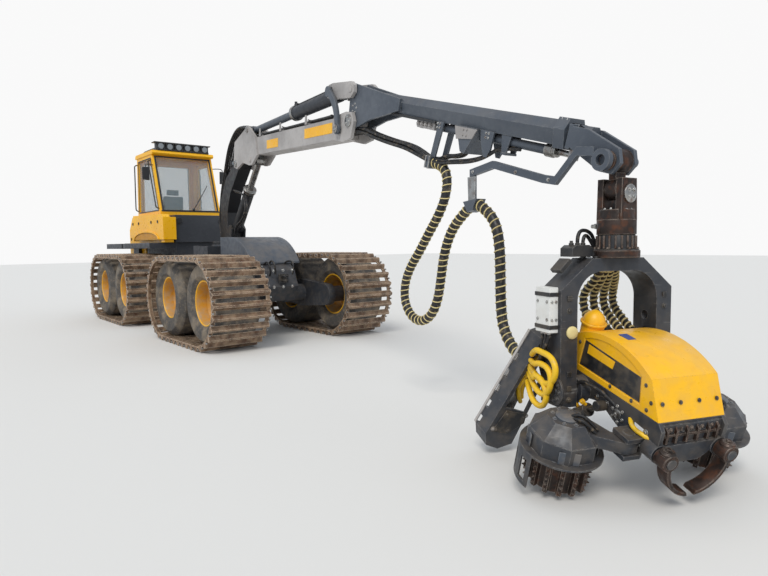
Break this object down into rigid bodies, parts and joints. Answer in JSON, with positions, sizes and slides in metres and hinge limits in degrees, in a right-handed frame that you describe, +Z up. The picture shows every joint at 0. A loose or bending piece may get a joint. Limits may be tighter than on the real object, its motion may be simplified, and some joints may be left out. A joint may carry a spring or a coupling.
{
  "type": "forestry harvester",
  "caption": "Articulated forestry harvester on band tracks over bogie wheels, with cab, slewing crane, telescopic jib and a tilting felling and delimbing head.",
  "frame": {"origin": "middle of the footprint on the ground, hoses left out", "axes": "+X forward along the machine and its crane, +Y left, +Z up"},
  "size_m": [14.6844, 3.8252, 3.92],
  "materials": {
    "black_paint": "black paint",
    "blue_grey_paint": "satin blue-grey paint",
    "dark_paint": "satin charcoal paint, worn at the edges",
    "glass": "clear tinted glass",
    "grey_paint": "weathered grey paint",
    "hose": "black rubber with a pale spiral guard",
    "rim_paint": "dusty ochre-yellow paint",
    "rust_steel": "dark rusty steel",
    "seat": "dark seat fabric",
    "shoe_steel": "rusty brown steel with worn faces",
    "steel": "worn bare steel",
    "tyre": "muddy black rubber",
    "white_paint": "matt white paint",
    "yellow_paint": "semi-gloss yellow paint"
  },
  "bodies": {
    "front": {"front_frame": "blue_grey_paint", "crane_base": "dark_paint", "nose_hood": "blue_grey_paint", "front_bogie_axle": "dark_paint", "front_tyres": "tyre", "front_rims": "rim_paint", "front_tracks": "shoe_steel"},
    "rear": {"rear_frame": "dark_paint", "deck_boxes": "dark_paint", "rear_bogie_axle": "dark_paint", "rear_tyres": "tyre", "rear_rims": "rim_paint", "rear_tracks": "shoe_steel", "engine_block": "grey_paint", "cab_shell": "yellow_paint", "cab_roof": "yellow_paint", "cab_glass": "glass", "cab_seat": "seat", "front_console": "dark_paint", "side_box": "yellow_paint", "light_bar": "black_paint"},
    "door": {"cab_door": "yellow_paint", "door_glass": "glass"},
    "hood": {"engine_hood": "yellow_paint"},
    "mast": {"mast": "black_paint"},
    "lift_barrel": {"lift_barrel": "black_paint"},
    "lift_rod": {"lift_rod": "steel"},
    "boom": {"main_boom": "grey_paint"},
    "fold_arms": {"fold_arms": "grey_paint"},
    "jib_barrel": {"jib_barrel": "grey_paint"},
    "jib_rod": {"jib_rod": "grey_paint"},
    "jib": {"jib": "blue_grey_paint", "tele_barrel": "blue_grey_paint", "hose_to_hanger": "hose"},
    "fold_link": {"fold_link": "grey_paint"},
    "telescope": {"telescope": "blue_grey_paint", "tele_rod": "steel", "hose_arm": "grey_paint", "hose_to_head": "hose"},
    "tip_link": {"tip_link": "rust_steel"},
    "rotator_link": {"rotator_link": "rust_steel"},
    "yoke": {"rotator": "rust_steel", "yoke": "dark_paint", "head_box": "white_paint"},
    "head": {"head_frame": "dark_paint", "head_cover": "yellow_paint", "saw_box": "dark_paint"},
    "saw_bar": {"saw_bar": "steel"},
    "feed_arm_right": {"feed_arm_right": "dark_paint"},
    "feed_arm_left": {"feed_arm_left": "dark_paint"},
    "feed_roller_right": {"feed_roller_right": "rust_steel"},
    "feed_roller_left": {"feed_roller_left": "rust_steel"},
    "knife_right": {"front_knife_right": "rust_steel"},
    "knife_left": {"front_knife_left": "rust_steel"}
  },
  "joints": [
    {"name": "articulation", "type": "hinge", "parent": "front", "child": "rear", "pos_m": [-3.05227, 0.24261, 0.915], "axis": [0, 0, 1], "range_deg": [-36, 36]},
    {"name": "door_swing", "type": "hinge", "parent": "rear", "child": "door", "pos_m": [-5.51827, 0.93861, 1.98], "axis": [0, 0, 1], "range_deg": [0, 80]},
    {"name": "hood_lift", "type": "hinge", "parent": "rear", "child": "hood", "pos_m": [-7.16827, 0.24261, 1.352], "axis": [0, -1, 0], "range_deg": [0, 60]},
    {"name": "mast_slew", "type": "hinge", "parent": "front", "child": "mast", "pos_m": [-2.35227, 0.24261, 1.67], "axis": [0, 0, 1], "range_deg": [-102, 118]},
    {"name": "boom_lift", "type": "hinge", "parent": "mast", "child": "boom", "pos_m": [-1.362, 0.10344, 3.09], "axis": [-0.1392, -0.9903, 0], "range_deg": [-15, 45]},
    {"name": "lift_barrel_pivot", "type": "hinge", "parent": "mast", "child": "lift_barrel", "pos_m": [-1.88684, 0.1772, 1.93], "axis": [-0.1392, -0.9903, 0], "range_deg": [-5.56, 16.29]},
    {"name": "lift_rod_slide", "type": "slide", "parent": "lift_barrel", "child": "lift_rod", "axis": [0.7547, -0.1061, 0.6475], "range_m": [-0.114, 0.3379]},
    {"name": "jib_fold", "type": "hinge", "parent": "boom", "child": "jib", "pos_m": [2.94566, -0.50196, 3.07], "axis": [-0.1392, -0.9903, 0], "range_deg": [-70, 10]},
    {"name": "fold_arm_pivot", "type": "hinge", "parent": "boom", "child": "fold_arms", "pos_m": [2.7179, -0.46996, 3.01], "axis": [-0.1392, -0.9903, 0], "range_deg": [-49.34, 7.22]},
    {"name": "fold_link_pivot", "type": "hinge", "parent": "jib", "child": "fold_link", "pos_m": [3.02488, -0.5131, 3.42], "axis": [-0.1392, -0.9903, 0], "range_deg": [-4.95, 33.42]},
    {"name": "jib_barrel_pivot", "type": "hinge", "parent": "fold_arms", "child": "jib_barrel", "pos_m": [2.50004, -0.43934, 3.5], "axis": [-0.1392, -0.9903, 0], "range_deg": [-7.31, 50]},
    {"name": "jib_rod_slide", "type": "slide", "parent": "jib_barrel", "child": "jib_rod", "axis": [-0.99, 0.1391, 0.0248], "range_m": [-0.0656, 0.4473]},
    {"name": "telescope_slide", "type": "slide", "parent": "jib", "child": "telescope", "axis": [0.9495, -0.1334, -0.284], "range_m": [0, 1.75], "deforming": ["hose_to_hanger"]},
    {"name": "tip_swing", "type": "hinge", "parent": "telescope", "child": "tip_link", "pos_m": [6.52053, -1.00438, 2.16], "axis": [-0.1392, -0.9903, 0], "range_deg": [-35, 75], "deforming": ["hose_to_head"]},
    {"name": "cross_swing", "type": "hinge", "parent": "tip_link", "child": "rotator_link", "pos_m": [6.52053, -1.00438, 1.97], "axis": [0.9903, -0.1392, 0], "range_deg": [-35, 35]},
    {"name": "rotator_turn", "type": "hinge", "parent": "rotator_link", "child": "yoke", "pos_m": [6.52053, -1.00438, 1.66], "axis": [0, 0, 1], "continuous": true},
    {"name": "head_tilt", "type": "hinge", "parent": "yoke", "child": "head", "pos_m": [6.50186, -0.99721, 0.6], "axis": [-0.3584, -0.9336, 0], "range_deg": [-7, 92]},
    {"name": "saw_swing", "type": "hinge", "parent": "head", "child": "saw_bar", "pos_m": [6.04237, -1.14217, 0.83421], "axis": [0.8904, -0.3418, -0.3007], "range_deg": [0, 70]},
    {"name": "feed_arm_right_swing", "type": "hinge", "parent": "head", "child": "feed_arm_right", "pos_m": [6.87355, -1.4773, 0.38392], "axis": [0.2807, -0.1078, 0.9537], "range_deg": [-8, 12]},
    {"name": "feed_roller_right_turn", "type": "hinge", "parent": "feed_arm_right", "child": "feed_roller_right", "pos_m": [6.50089, -1.63953, 0.21315], "axis": [0.2807, -0.1078, 0.9537], "continuous": true},
    {"name": "knife_right_swing", "type": "hinge", "parent": "head", "child": "knife_right", "pos_m": [7.07004, -1.45632, 0.35991], "axis": [-0.8904, 0.3418, 0.3007], "range_deg": [0, 55]},
    {"name": "feed_arm_left_swing", "type": "hinge", "parent": "head", "child": "feed_arm_left", "pos_m": [7.09932, -0.88914, 0.38392], "axis": [-0.2807, 0.1078, -0.9537], "range_deg": [-8, 12]},
    {"name": "feed_roller_left_turn", "type": "hinge", "parent": "feed_arm_left", "child": "feed_roller_left", "pos_m": [6.93093, -0.51923, 0.21315], "axis": [0.2807, -0.1078, 0.9537], "continuous": true},
    {"name": "knife_left_swing", "type": "hinge", "parent": "head", "child": "knife_left", "pos_m": [7.2313, -1.03621, 0.35991], "axis": [0.8904, -0.3418, -0.3007], "range_deg": [0, 55]}
  ],
  "couplings": [
    {"joint": "lift_barrel_pivot", "follows": "boom_lift", "ratio": 0.35751},
    {"joint": "lift_rod_slide", "follows": "boom_lift", "m_per_rad": 0.42771},
    {"joint": "fold_arm_pivot", "follows": "jib_fold", "ratio": 0.702},
    {"joint": "fold_link_pivot", "follows": "jib_fold", "ratio": -0.47457},
    {"joint": "jib_barrel_pivot", "follows": "jib_fold", "ratio": -0.71143},
    {"joint": "jib_rod_slide", "follows": "jib_fold", "m_per_rad": -0.36449}
  ]
}
